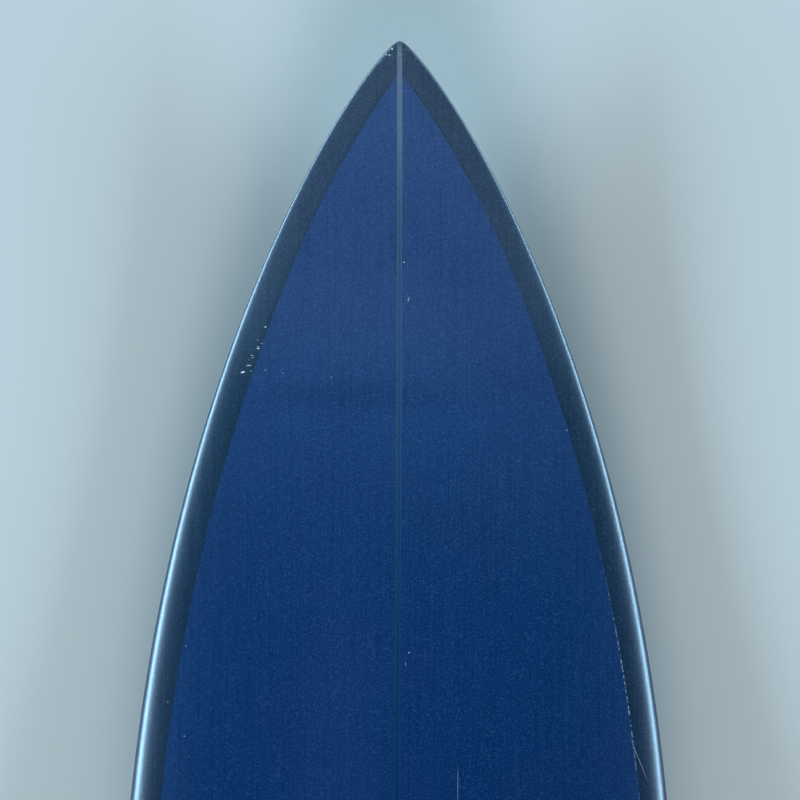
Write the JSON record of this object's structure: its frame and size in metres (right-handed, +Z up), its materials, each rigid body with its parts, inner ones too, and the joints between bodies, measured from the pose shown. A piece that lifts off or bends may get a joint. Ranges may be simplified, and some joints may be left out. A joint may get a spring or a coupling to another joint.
{
  "type": "surfboard",
  "caption": "Pointed-nose surfboard with tinted deck and rail laminates, a wooden stringer, removable fins in boxes and a leash plug.",
  "frame": {"origin": "centre of the board's footprint, on the floor that it stands on with its side fins' tips and its belly", "axes": "+Z up out of the deck side; -Y towards the nose and +Y towards the tail; +X to the left of a rider who faces the nose. The board is pitched 5.08 degrees nose down from its own level datum."},
  "size_m": [0.5078, 1.9284, 0.1812],
  "materials": {
    "foam": "closed-cell foam, sanded",
    "stringer_wood": "light softwood strip",
    "glue": "hard resin glue",
    "deck_tint": "blue resin tint, sanded",
    "bottom_tint": "slate blue resin tint, sanded",
    "box_plastic": "moulded, fine grain",
    "fin_composite": "glass laminate, polished",
    "stainless": "turned stainless steel"
  },
  "bodies": {
    "board": {"blank_left": "foam", "blank_right": "foam", "stringer": "stringer_wood", "glue_line_left": "glue", "glue_line_right": "glue", "deck_inlay": "deck_tint", "bottom_wrap": "bottom_tint", "fin_box_left": "box_plastic", "fin_box_right": "box_plastic", "fin_box_centre": "box_plastic", "leash_plug": "box_plastic", "leash_bar": "stainless"},
    "fin_left": {"fin_left": "fin_composite"},
    "screw_left": {"grub_screw_left": "stainless"},
    "fin_right": {"fin_right": "fin_composite"},
    "screw_right": {"grub_screw_right": "stainless"},
    "fin_centre": {"fin_centre": "fin_composite"},
    "screw_centre": {"grub_screw_centre": "stainless"}
  },
  "joints": [
    {"name": "fin_left_slide", "type": "slide", "parent": "board", "child": "fin_left", "axis": [0.0142, 0.172, -0.985], "range_m": [0, 0.03]},
    {"name": "fin_right_slide", "type": "slide", "parent": "board", "child": "fin_right", "axis": [-0.013, 0.172, -0.985], "range_m": [0, 0.03]},
    {"name": "fin_centre_slide", "type": "slide", "parent": "board", "child": "fin_centre", "axis": [0, 0.2079, -0.9781], "range_m": [0, 0.03]},
    {"name": "screw_left_backout", "type": "slide", "parent": "board", "child": "screw_left", "axis": [-0.0309, -0.643, -0.7653], "range_m": [0, 0.004]},
    {"name": "screw_right_backout", "type": "slide", "parent": "board", "child": "screw_right", "axis": [0.0317, -0.643, -0.7652], "range_m": [0, 0.004]},
    {"name": "screw_centre_backout", "type": "slide", "parent": "board", "child": "screw_centre", "axis": [0, -0.6157, -0.788], "range_m": [0, 0.004]}
  ]
}
